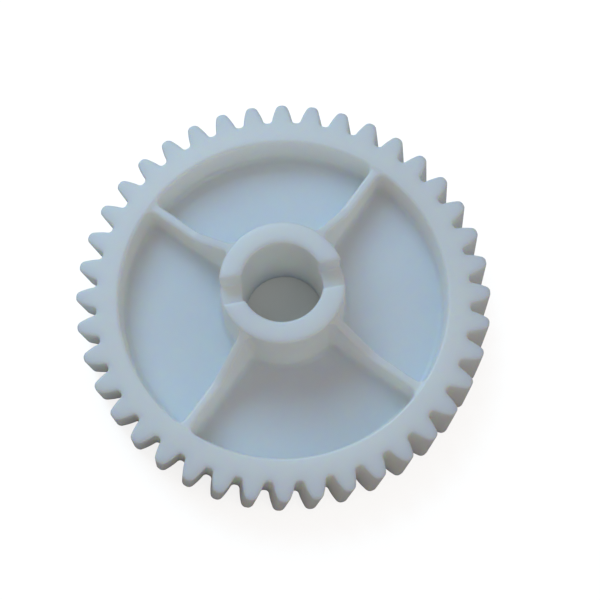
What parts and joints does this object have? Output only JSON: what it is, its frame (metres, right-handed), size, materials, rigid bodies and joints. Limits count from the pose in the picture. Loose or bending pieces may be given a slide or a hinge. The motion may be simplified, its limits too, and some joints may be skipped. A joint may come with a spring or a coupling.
{
  "type": "helical gear",
  "caption": "Moulded plastic helical gear with a webbed, ribbed centre, a plain bore and a cross-pin slot across the end of its hub.",
  "frame": {"origin": "on the bore axis, at the rear end of the hub", "axes": "+Z along the bore towards the slotted end of the hub, +X along the slot, a tooth centred on +X at the rim's front face"},
  "size_m": [0.0672, 0.0672, 0.018],
  "materials": {
    "natural_nylon": "natural white engineering plastic as moulded, faintly translucent, satin"
  },
  "bodies": {
    "root": {"toothed_rim": "natural_nylon", "web_disc": "natural_nylon", "hub_barrel": "natural_nylon", "drive_jaw_1": "natural_nylon", "drive_jaw_2": "natural_nylon", "rib_1": "natural_nylon", "rib_2": "natural_nylon", "rib_3": "natural_nylon", "rib_4": "natural_nylon"}
  },
  "joints": []
}
